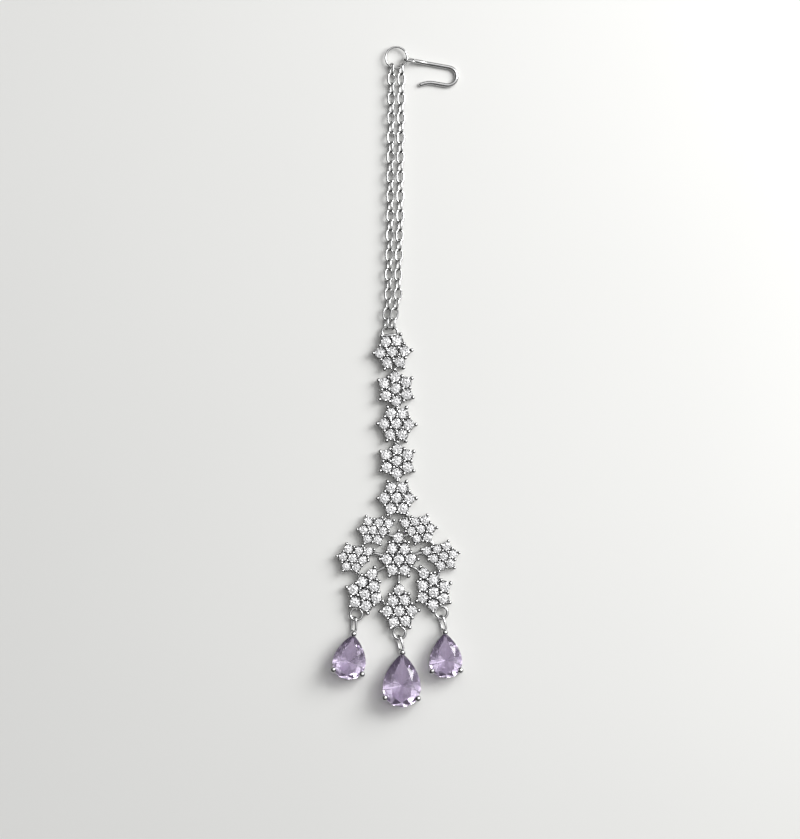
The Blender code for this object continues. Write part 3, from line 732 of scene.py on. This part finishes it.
def cut_stone(name, outline, belly, crown, depth, girdle, table, star=None, lower=None, sides=48):
    """Stone cut from a prism, a facet at a time: table, crown and pavilion.

    The outline gives a point of the girdle for an angle, and the table its share across
    and along. Without a star it is a single cut, which has its main facets alone. Shapes
    are in millimetres with the girdle's upper edge at height zero.
    """
    bpy.ops.mesh.primitive_cylinder_add(
        vertices=sides, radius=1.0, depth=2.0, location=(0, 0, 0), end_fill_type="NGON",
    )
    stone = newest()
    stone.name = name
    for vertex in stone.data.vertices:
        point = outline(math.degrees(math.atan2(vertex.co.y, vertex.co.x)))
        height = crown * BLANK_SPARE if vertex.co.z > 0 else -depth * BLANK_SPARE
        vertex.co = (point.x, point.y, height)
    planes = [(Vector((0, 0, crown)), UP)]
    culet = belly + Vector((0, 0, -girdle - depth))

    def rim(angle, height):
        point = outline(angle)
        return Vector((point.x, point.y, height))

    def edge_of_table(angle):
        point = outline(angle) - belly
        return belly + Vector((point.x * table[0], point.y * table[1], crown))

    mains = [45.0 * k for k in range(8)]
    crown_mains = []
    pavilion_mains = []
    for angle in mains:
        tangent = (outline(angle + 1.0) - outline(angle - 1.0)).normalized()
        away = Vector((tangent.y, -tangent.x, 0.0))
        if away.dot(outline(angle) - belly) < 0:
            away.negate()
        top = rim(angle, 0.0)
        crown_mains.append(plane_through(top, top + tangent, edge_of_table(angle), away))
        foot = rim(angle, -girdle)
        pavilion_mains.append(plane_through(foot, foot + tangent, culet, away))
    planes += crown_mains + pavilion_mains
    for k, angle in enumerate(mains if star else ()):
        after = angle + 45.0
        between = (angle + after) / 2
        away = outline(between) - belly
        tip = meet((crown_mains[k], crown_mains[(k + 1) % 8]), crown * star)
        foot = meet((pavilion_mains[k], pavilion_mains[(k + 1) % 8]), -girdle - depth * lower)
        planes.append(plane_through(edge_of_table(angle), edge_of_table(after), tip, away))
        for edge in (angle, after):
            planes.append(plane_through(rim(edge, 0.0), rim(between, 0.0), tip, away))
            planes.append(plane_through(rim(edge, -girdle), rim(between, -girdle), foot, away))
    activate(stone)
    bpy.ops.object.mode_set(mode="EDIT")
    for point, normal in planes:
        bpy.ops.mesh.select_all(action="SELECT")
        bpy.ops.mesh.bisect(
            plane_co=point, plane_no=normal, use_fill=True, clear_outer=True, threshold=0.0001,
        )
    bpy.ops.mesh.select_all(action="SELECT")
    bpy.ops.mesh.remove_doubles(threshold=WELD)
    bpy.ops.mesh.dissolve_limited(angle_limit=math.radians(0.2))
    bpy.ops.mesh.normals_make_consistent(inside=False)
    leave_edit()
    return stone


def round_outline(radius):
    def outline(angle):
        return direction(angle) * radius
    return outline


def pear_outline(width, length):
    """Pear with its tip at +Y; an angle of zero is the tip."""
    fullest = math.atan(math.sqrt(PEAR_SHARPNESS + 1))
    full = math.sin(2 * fullest) * math.sin(fullest) ** PEAR_SHARPNESS

    def outline(angle):
        turn = math.radians(angle)
        x = width / 2 * math.sin(turn) * abs(math.sin(turn / 2)) ** PEAR_SHARPNESS / full
        return Vector((x, length / 2 * math.cos(turn), 0.0))
    return outline


def round_stone(pitch):
    """Single-cut round stone with its girdle at height zero."""
    radius = bpy.context.scene.tikka_sizes.stone_share * pitch
    return cut_stone(
        "round_stone", round_outline(radius), Vector((0, 0, 0)),
        crown=ROUND_CROWN * radius, depth=ROUND_DEPTH * radius, girdle=ROUND_GIRDLE * radius,
        table=ROUND_TABLE, sides=32,
    )


def steady_turn(number, spread, axis):
    """Pseudo-random turn of the nth of many like things, the same in each run."""
    angle = spread * math.sin(number * 12.9898 + 4.1414) * math.cos(number * 78.233)
    return Matrix.Rotation(math.radians(angle), 4, axis)


def collet(pitch):
    """Funnel that a round stone sits in, with a thin wall."""
    sizes = bpy.context.scene.tikka_sizes
    wide = sizes.stone_share * pitch
    top = sizes.setting_height * TO_MM - COLLET_TOP * wide
    low = top - COLLET_DEPTH * wide
    bpy.ops.mesh.primitive_cone_add(
        vertices=24, radius1=COLLET_FOOT * wide, radius2=COLLET_RIM * wide, depth=top - low,
        end_fill_type="NOTHING", location=(0, 0, (top + low) / 2),
    )
    seat = newest()
    bpy.ops.object.transform_apply(location=True, rotation=False, scale=False)
    select_where(seat, "VERT", lambda corner: corner.co.z < low + LEVEL)
    bpy.ops.mesh.extrude_region_move(TRANSFORM_OT_translate={"value": (0, 0, -COLLET_SLEEVE * wide)})
    leave_edit()
    wall = seat.modifiers.new("Wall", "SOLIDIFY")
    wall.thickness = COLLET_WALL * wide
    wall.offset = 1.0
    bpy.ops.object.modifier_apply(modifier=wall.name)
    return seat


def prong(pitch, foot):
    """Round prong with a ball on top, standing from a height."""
    sizes = bpy.context.scene.tikka_sizes
    ball = sizes.ball_share * pitch
    top = sizes.setting_height * TO_MM + PRONG_HEIGHT - ball
    bpy.ops.mesh.primitive_uv_sphere_add(segments=12, ring_count=10, radius=ball, location=(0, 0, 0))
    item = newest()
    select_where(item, "FACE", lambda face: face.center.z < -PRONG_NECK * ball)
    lowest = foot - top
    fall = lowest + PRONG_NECK_EDGE * ball
    bpy.ops.mesh.extrude_region_move(TRANSFORM_OT_translate={"value": (0, 0, fall)})
    leave_edit()
    for vertex in item.data.vertices:
        if vertex.co.z < -PRONG_BELOW_BALL * ball:
            vertex.co.z = lowest
    shift(item, (0, 0, top))
    return item


def back_ring(pitch):
    """Wire ring of the back's gallery, one under each stone."""
    wire = BACK_RING_WIRE * pitch
    width = BACK_RING_WIDTH * pitch
    ring = ring_of_wire(width, width, wire, around=24, across=8)
    shift(ring, (0, 0, wire / 2))
    return ring


def make_flowers(name, flowers):
    """Finish the stones of one or more flowers, and return their setting."""
    metal = []
    stones = []
    number = 0
    height = bpy.context.scene.tikka_sizes.setting_height * TO_MM
    for pitch in sorted({flower.pitch for flower in flowers}):
        seat = collet(pitch)
        leg = prong(pitch, 0.0)
        stub = prong(pitch, STUB_FOOT)
        ring = back_ring(pitch)
        stone = round_stone(pitch)
        for flower in flowers:
            if flower.pitch != pitch:
                continue
            for place in flower.stones():
                number += 1
                metal.append(placed(seat, Matrix.Translation(place)))
                metal.append(placed(ring, Matrix.Translation(place)))
                tilt = steady_turn(number, STONE_TILT, "X") @ steady_turn(number + 50, STONE_TILT, "Y")
                spin = steady_turn(number + 99, STONE_SPIN, "Z")
                spot = Matrix.Translation(place + Vector((0, 0, height)))
                stones.append(placed(stone, spot @ tilt @ spin))
            for place in flower.outer_prongs():
                metal.append(placed(leg, Matrix.Translation(place)))
            for place in flower.inner_prongs() + flower.ring_posts():
                metal.append(placed(stub, Matrix.Translation(place)))
        discard(seat, leg, stub, ring, stone)
    finish_piece(joined(name + "_stones", stones), "clear_brilliant", (), FACETED)
    return joined(name + "_setting", metal)


def bar(start, end, width, bottom, top):
    """Short soldered rod, its edges rounded nearly to a wire."""
    bpy.ops.mesh.primitive_cube_add(size=1.0, location=(0, 0, 0))
    item = newest()
    item.scale = ((end - start).length, width, top - bottom)
    bpy.ops.object.transform_apply(location=False, rotation=False, scale=True)
    soften = item.modifiers.new("Soften", "BEVEL")
    soften.width = BAR_ROUNDING * min(width, top - bottom)
    soften.segments = 5
    bpy.ops.object.modifier_apply(modifier=soften.name)
    centre = (start + end) / 2
    centre.z = (bottom + top) / 2
    item.data.transform(turned(centre, end - start))
    return item


def loop_centre(flower, way, length=LOOP_WIDTH):
    """Centre of a loop soldered to a flower's edge."""
    reach = VALLEY_EDGE * flower.pitch + length / 2 - JOIN_OVERLAP
    centre = flower.centre + direction(way) * reach
    centre.z = LOOP_HEIGHT
    return centre


def top_loop_centre(flower):
    return loop_centre(flower, TOP_LOOP_DIRECTION, TOP_LOOP_LENGTH)


class TIKKA_OT_strip(bpy.types.Operator):
    """Build the strip's flowers, and the loop that carries the chains"""

    bl_idname = "tikka.strip"
    bl_label = "Strip of Flowers"

    def execute(self, context):
        for name, flower in strip_flowers().items():
            setting = make_flowers(name, [flower])
            if name == STRIP[-1][0]:
                wire = context.scene.tikka_sizes.loop_wire * TO_MM
                loop = ring_of_wire(TOP_LOOP_WIDTH, TOP_LOOP_LENGTH, wire)
                centre = top_loop_centre(flower)
                shift(loop, centre)
                middle = centre - direction(TOP_LOOP_DIRECTION) * BAND_BELOW
                half = direction(TOP_LOOP_DIRECTION - 90.0) * BAND_LENGTH / 2
                band = bar(middle - half, middle + half, BAND_WIDTH, BAND_BOTTOM, BAND_TOP)
                setting = joined(name + "_setting", [setting, loop, band])
            finish_metal(setting, name)
        return {"FINISHED"}


def clear_of(stones, start, goal):
    """First place from a start towards a goal where a bar is clear of every stone."""
    way = (goal - start).normalized()
    place = start.copy()
    while any((place - stone).length < BAR_REACH for stone in stones):
        place = place + way * BAR_STEP
    return place


class TIKKA_OT_pendant(bpy.types.Operator):
    """Build the pendant: eight flowers, the bars and solder between them, and three loops"""

    bl_idname = "tikka.pendant"
    bl_label = "Pendant"

    def execute(self, context):
        flowers = pendant_flowers()
        parts = [make_flowers("pendant", list(flowers.values()))]
        centre = flowers["centre"]

        def seat(flower, goal):
            return flower.centre + (goal - flower.centre).normalized() * BAR_SEAT * flower.pitch

        ends = []
        for name in BARS_TO_CENTRE:
            outer = flowers[name].extra_centre()
            ends.append((outer, seat(centre, outer)))
        for name in BARS_TO_CENTRE_EXTRA:
            goal = centre.extra_centre()
            start = seat(flowers[name], goal)
            ends.append((start, goal + (start - goal).normalized() * BAR_SEAT_IN_EXTRA * centre.pitch))
        for first, second in SOLDERED_TIPS:
            ends.append((
                seat(flowers[first], flowers[second].centre),
                seat(flowers[second], flowers[first].centre),
            ))
        stones = [place for flower in flowers.values() for place in flower.stones()]
        for first, second in ends:
            start = clear_of(stones, first, second)
            end = clear_of(stones, second, first)
            parts.append(bar(start, end, BAR_WIDTH, BAR_BOTTOM, BAR_TOP))
        wire = context.scene.tikka_sizes.loop_wire * TO_MM
        for drop in DROPS:
            loop = ring_of_wire(LOOP_WIDTH, LOOP_WIDTH, wire)
            shift(loop, loop_centre(flowers[drop.flower], drop.loop_way))
            parts.append(loop)
        setting = joined("pendant_setting", parts)
        finish_metal(setting, "pendant_cluster")
        return {"FINISHED"}


class TIKKA_OT_rings(bpy.types.Operator):
    """Build the small rings that join the strip, and the ring at the chain's far end"""

    bl_idname = "tikka.rings"
    bl_label = "Joining Rings"

    wire: FloatProperty(
        name="Wire", description="Thickness of the small rings' wire", default=0.26 * MM, unit="LENGTH",
    )
    width: FloatProperty(
        name="Width", description="Width of the small rings", default=1.19 * MM, unit="LENGTH",
    )
    end_width: FloatProperty(
        name="End ring", description="Width of the end ring", default=4.40 * MM, unit="LENGTH",
    )
    end_wire: FloatProperty(
        name="End wire", description="Thickness of the end ring's wire",
        default=END_RING_WIRE * MM, unit="LENGTH",
    )

    def execute(self, context):
        wire = self.wire * TO_MM
        width = self.width * TO_MM
        strip = strip_flowers()
        pendant = pendant_flowers()
        names = [row[0] for row in reversed(STRIP)]
        posts = []
        for number, (upper, lower) in enumerate(zip(names, names[1:]), start=1):
            ends = []
            for name, other in ((upper, lower), (lower, upper)):
                flower = strip[name]
                reach = VALLEY_POST if flower.open_valleys else TIP_POST
                way = (strip[other].centre - flower.centre).normalized()
                ends.append(flower.centre + way * reach * flower.pitch)
            posts.append(("strip_ring_" + str(number), ends))
        last = strip[names[-1]]
        for side, petal in (("left", 240.0), ("right", 300.0)):
            start = last.place(TIP_POST, 0.0, petal + last.turn)
            posts.append(("pendant_ring_" + side, [start, pendant["upper_" + side].extra_centre()]))
        for node, (first, second) in posts:
            low, high = node_box(node)
            centre = (first + second) / 2
            centre.z = (low.z + high.z) / 2
            ring = ring_of_wire((second - first).length + width, width, wire, around=20, across=8)
            ring.data.transform(turned(centre, second - first))
            ring.name = node + "_wire"
            finish_metal(ring, node, WIRE_SMOOTH)
        low, high = node_box("end_ring")
        width = self.end_width * TO_MM
        ring = ring_of_wire(width, width, self.end_wire * TO_MM, around=40, across=12)
        shift(ring, (low + high) / 2)
        ring.name = "end_ring_wire"
        finish_metal(ring, "end_ring", WIRE_SMOOTH)
        return {"FINISHED"}


def eased(share):
    """Share that starts and ends gently."""
    return share * share * (3 - 2 * share)


def route_side(route, share):
    """Sideways place along a strand, smooth between the chosen points."""
    for (start_side, start), (end_side, end) in zip(route, route[1:]):
        if share <= end:
            part = (share - start) / (end - start)
            return start_side + (end_side - start_side) * eased(part)
    return route[-1][0]


class TIKKA_OT_chains(bpy.types.Operator):
    """Build the two strands of oval links"""

    bl_idname = "tikka.chains"
    bl_label = "Chains"

    length: FloatProperty(
        name="Link length", description="Outer length of a link", default=2.54 * MM, unit="LENGTH",
    )
    width: FloatProperty(
        name="Link width", description="Outer width of a link", default=1.78 * MM, unit="LENGTH",
    )

    def execute(self, context):
        wire = context.scene.tikka_sizes.link_wire * TO_MM
        link = ring_of_wire(self.length * TO_MM, self.width * TO_MM, wire, around=24, across=12)
        loop = top_loop_centre(strip_flowers()[STRIP[-1][0]])
        for node, route in STRANDS:
            low, high = node_box(node)
            first = low.y + LINK_LENGTH / 2
            spots = [
                Vector((
                    loop.x + route_side(route, i / (LINKS - 1)),
                    first + i * LINK_PITCH,
                    loop.z,
                ))
                for i in range(LINKS)
            ]
            links = []
            for i, spot in enumerate(spots):
                along = spots[min(i + 1, LINKS - 1)] - spots[max(i - 1, 0)]
                roll = STEEP_ROLL if i % 2 == 0 else FLAT_ROLL
                links.append(placed(link, turned(spot, along, roll)))
            strand = joined(node + "_links", links)
            finish_metal(strand, node, WIRE_SMOOTH)
        discard(link)
        return {"FINISHED"}


def wire_along(points, width, resolution=4, closed=False):
    """Round wire along points."""
    curve = bpy.data.curves.new("wire", "CURVE")
    curve.dimensions = "3D"
    line = curve.splines.new("POLY")
    line.points.add(len(points) - 1)
    for target, point in zip(line.points, points):
        target.co = (*point, 1.0)
    line.use_cyclic_u = closed
    curve.bevel_depth = width / 2
    curve.bevel_resolution = resolution
    curve.use_fill_caps = not closed
    activate(add_object("wire", curve))
    bpy.ops.object.convert(target="MESH")
    bpy.ops.object.mode_set(mode="EDIT")
    bpy.ops.mesh.select_all(action="SELECT")
    bpy.ops.mesh.remove_doubles(threshold=WELD)
    bpy.ops.mesh.normals_make_consistent(inside=False)
    leave_edit()
    return newest()


class TIKKA_OT_hook(bpy.types.Operator):
    """Build the plain wire hook at the chain's far end"""

    bl_idname = "tikka.hook"
    bl_label = "Hair Hook"

    wire: FloatProperty(
        name="Wire", description="Thickness of the hook's wire", default=0.80 * MM, unit="LENGTH",
    )
    eye_wire: FloatProperty(
        name="Eye wire", description="Thickness of the eye's wire", default=0.50 * MM, unit="LENGTH",
    )
    turn: FloatProperty(
        name="Turn", description="Direction of the shank", default=math.radians(-10.0), subtype="ANGLE",
    )

    def execute(self, context):
        wire_width = self.wire * TO_MM
        eye_wire = self.eye_wire * TO_MM
        low, high = node_box("end_ring")
        along = direction(math.degrees(self.turn))
        side = Vector((-along.y, along.x, 0.0))
        inner = (high.x - low.x) / 2 - END_RING_WIRE - eye_wire / 2 - JOIN_GAP
        eye_half = (EYE_LENGTH - eye_wire) / 2
        eye_centre = (low + high) / 2 + along * (inner + eye_half)
        eye = ring_of_wire(EYE_LENGTH, EYE_WIDTH, eye_wire, around=28, across=12)
        eye.data.transform(turned(eye_centre, along, STEEP_ROLL))
        start = eye_centre + along * eye_half
        low_shift = Vector((0, 0, wire_width / 2 - start.z))
        bend = HOOK_GAP / 2 + wire_width / 2
        turn_centre = start + along * HOOK_SHANK - side * bend + low_shift
        path = []
        for k in range(HOOK_STEPS + 1):
            share = k / HOOK_STEPS
            sink = eased(max(0.0, min(1.0, (share - SINK_START) / SINK_SPAN)))
            path.append(start + along * HOOK_SHANK * share + low_shift * sink)
        for k in range(1, HOOK_STEPS + 1):
            angle = math.pi / 2 - math.pi * k / HOOK_STEPS
            path.append(turn_centre + (along * math.cos(angle) + side * math.sin(angle)) * bend)
        for k in range(1, RETURN_STEPS + 1):
            share = k / RETURN_STEPS
            flare = HOOK_FLARE * max(0.0, (share - FLARE_START) / (1 - FLARE_START)) ** 2
            path.append(turn_centre - side * (bend + flare) - along * HOOK_RETURN * share)
        wire = wire_along(path, wire_width)
        cap = ball_at(path[-1], wire_width, 18, 12)
        hook = joined("hair_hook_wire", [eye, wire, cap])
        finish_metal(hook, "hair_hook", WIRE_SMOOTH)
        return {"FINISHED"}


def drop_places(drop, flowers):
    """Where a drop hangs: the bail's centre and direction, and the stone's matrix."""
    along = direction(90.0 + drop.lean)
    inner = LOOP_WIDTH / 2 - SOLID_LOOP_WIRE - SOLID_BAIL_WIRE / 2 - JOIN_GAP
    half = (BAIL_LENGTH - SOLID_BAIL_WIRE) / 2
    loop = loop_centre(flowers[drop.flower], drop.loop_way)
    bail_centre = loop + direction(drop.bail_way) * inner - along * half
    ball = bail_centre - along * (half + (POST_WIDTH + SOLID_BAIL_WIRE) / 2 - JOIN_OVERLAP)
    middle = ball - direction(90.0 + drop.turn) * (drop.length / 2 + TIP_OUT)
    middle.z = 0.0
    spot = Matrix.Translation(middle) @ Matrix.Rotation(math.radians(drop.turn), 4, "Z")
    return bail_centre, along, spot


def pear_stone(drop, outline, belly):
    """Pear-cut stone with its point at its height above the back."""
    stone = cut_stone(
        "drop_stone_" + drop.name + "_cut", outline, belly, crown=drop.crown, depth=drop.depth,
        girdle=DROP_GIRDLE, table=PEAR_TABLE, star=PEAR_STAR, lower=PEAR_LOWER,
    )
    shift(stone, (0, 0, DROP_CULET + drop.depth + DROP_GIRDLE))
    return stone


def gallery_rail(outline, belly, height, width):
    """Pear-shaped wire under a stone's edge."""
    points = []
    for k in range(RAIL_STEPS):
        point = belly + (outline(360.0 * k / RAIL_STEPS) - belly) * RAIL_SCALE
        points.append(Vector((point.x, point.y, height)))
    return wire_along(points, width, 3, closed=True)


def ball_prong(foot, top, girdle, width, ball):
    """Prong that leans in to its ball at the stone's edge."""
    rise = girdle + ball * BALL_RISE
    path = [
        Vector((foot.x, foot.y, 0.0)),
        Vector((foot.x, foot.y, girdle - width / 2)),
        Vector((top.x, top.y, rise)),
    ]
    return [wire_along(path, width), ball_at(path[-1], ball, 24, 16)]


class TIKKA_OT_drops(bpy.types.Operator):
    """Build the three pear drops with their settings and bails"""

    bl_idname = "tikka.drops"
    bl_label = "Pear Drops"

    prong: FloatProperty(
        name="Prong", description="Thickness of the prongs", default=0.60 * MM, unit="LENGTH",
    )
    rail: FloatProperty(
        name="Rail", description="Thickness of the gallery rails", default=0.42 * MM, unit="LENGTH",
    )

    def execute(self, context):
        flowers = pendant_flowers()
        ball = context.scene.tikka_sizes.drop_ball * TO_MM
        width = self.prong * TO_MM
        for drop in DROPS:
            bail_centre, along, spot = drop_places(drop, flowers)
            outline = pear_outline(drop.width, drop.length)
            belly = Vector((0.0, PEAR_BELLY * drop.length, 0.0))
            stone = pear_stone(drop, outline, belly)
            stone.data.transform(spot)
            finish_piece(stone, "lilac_pear", ("drop_stone_" + drop.name,), FACETED)
            parts = [gallery_rail(outline, belly, height, self.rail * TO_MM) for height in RAIL_HEIGHTS]
            girdle = DROP_CULET + drop.depth
            tip = Vector((0.0, drop.length / 2 + TIP_OUT, 0.0))
            parts += ball_prong(tip, tip, girdle, width, ball)
            for side in (outline(SIDE_PRONG_PLACE), outline(-SIDE_PRONG_PLACE)):
                away = side.normalized()
                foot = side + away * (width / 2)
                parts += ball_prong(foot, side + away * BALL_OUT, girdle, width, ball)
            for part in parts:
                part.data.transform(spot)
            bail = ring_of_wire(BAIL_LENGTH, BAIL_WIDTH, BAIL_WIRE, around=28, across=12)
            bail.data.transform(turned(bail_centre, along, BAIL_ROLL))
            setting = joined("drop_setting_" + drop.name + "_wirework", parts + [bail])
            finish_metal(setting, "drop_setting_" + drop.name)
        return {"FINISHED"}


def add_light(name, power, size, place, goal):
    """Square soft light aimed at a point."""
    data = bpy.data.lights.new(name, "AREA")
    data.energy = power
    data.size = size
    lamp = add_object(name, data)
    lamp.location = place
    lamp.rotation_euler = (goal - place).to_track_quat("-Z", "Y").to_euler()


def light_room(stage):
    """World that is bright overhead and most of all to the right, with the camera's dark spot."""
    room = Shader(bpy.data.worlds.new("room"))
    way = room.node("ShaderNodeTexCoord")["Generated"]

    def facing(goal):
        inputs = {0: way, 1: Vector(goal).normalized()}
        return room.node("ShaderNodeVectorMath", {"operation": "DOT_PRODUCT"}, inputs)["Value"]

    light = room.ramp(
        facing(WINDOW_WAY),
        (0.20, grey(0.05)),
        (0.55, grey(0.32)),
        (0.72, grey(0.62)),
        (0.88, grey(1.0)),
    )
    spot = room.ramp(
        facing(UP),
        (0.45, grey(stage.room_dark)),
        (0.66, grey(1.0)),
        (0.985, grey(1.0)),
        (0.994, grey(0.25)),
    )
    return room.finish("Background", Color=light, Strength=stage.room_bright * spot)


class TIKKA_OT_stage(bpy.types.Operator):
    """Set the floor, the lights and the camera"""

    bl_idname = "tikka.stage"
    bl_label = "Stage"

    def execute(self, context):
        stage = context.scene.tikka_stage
        pendant = pendant_flowers()["centre"].centre / TO_MM
        goal = pendant + Vector((*stage.aim, 0.0))
        bpy.ops.mesh.primitive_plane_add(size=FLOOR_SIZE, location=(0, 0, 0))
        floor = newest()
        floor.name = "pale_floor"
        floor.data.materials.append(material("pale_floor"))
        back = Vector((0.0, -math.cos(stage.elevation), math.sin(stage.elevation)))
        camera_data = bpy.data.cameras.new("camera")
        camera = add_object("camera", camera_data)
        camera.location = goal + back * stage.distance
        camera.rotation_euler = (-back).to_track_quat("-Z", "Y").to_euler()
        camera_data.lens = camera_data.sensor_width * stage.distance / stage.frame_height
        camera_data.clip_start = 0.01
        context.scene.camera = camera
        key_place = goal + Vector(KEY_WAY).normalized() * KEY_DISTANCE
        add_light("key", stage.key_strength, KEY_SIZE, key_place, goal)
        context.scene.world = light_room(stage)
        context.scene.view_settings.view_transform = "Standard"
        return {"FINISHED"}


class TIKKA_PT_panel(bpy.types.Panel):
    """Buttons for the pieces and the values that they follow"""

    bl_label = "Maang Tikka"
    bl_idname = "TIKKA_PT_panel"
    bl_space_type = "VIEW_3D"
    bl_region_type = "UI"
    bl_category = "Tikka"

    def draw(self, context):
        for piece in PIECES:
            self.layout.operator(piece.bl_idname)
        for group in (context.scene.tikka_sizes, context.scene.tikka_finishes, context.scene.tikka_stage):
            box = self.layout.box()
            for key in group.__annotations__:
                box.prop(group, key)


PIECES = (
    TIKKA_OT_stage,
    TIKKA_OT_strip,
    TIKKA_OT_pendant,
    TIKKA_OT_rings,
    TIKKA_OT_chains,
    TIKKA_OT_hook,
    TIKKA_OT_drops,
)
GROUPS = (TikkaSizes, TikkaFinishes, TikkaStage)


def register():
    for item in (*GROUPS, *PIECES, TIKKA_PT_panel):
        bpy.utils.register_class(item)
    bpy.types.Scene.tikka_sizes = PointerProperty(type=TikkaSizes)
    bpy.types.Scene.tikka_finishes = PointerProperty(type=TikkaFinishes)
    bpy.types.Scene.tikka_stage = PointerProperty(type=TikkaStage)


def unregister():
    del bpy.types.Scene.tikka_stage
    del bpy.types.Scene.tikka_finishes
    del bpy.types.Scene.tikka_sizes
    for item in (TIKKA_PT_panel, *reversed(PIECES), *reversed(GROUPS)):
        bpy.utils.unregister_class(item)


def main():
    register()
    bpy.ops.tikka.stage()
    bpy.ops.tikka.strip()
    bpy.ops.tikka.pendant()
    bpy.ops.tikka.rings()
    bpy.ops.tikka.chains()
    bpy.ops.tikka.hook()
    bpy.ops.tikka.drops()


if __name__ == "__main__":
    main()
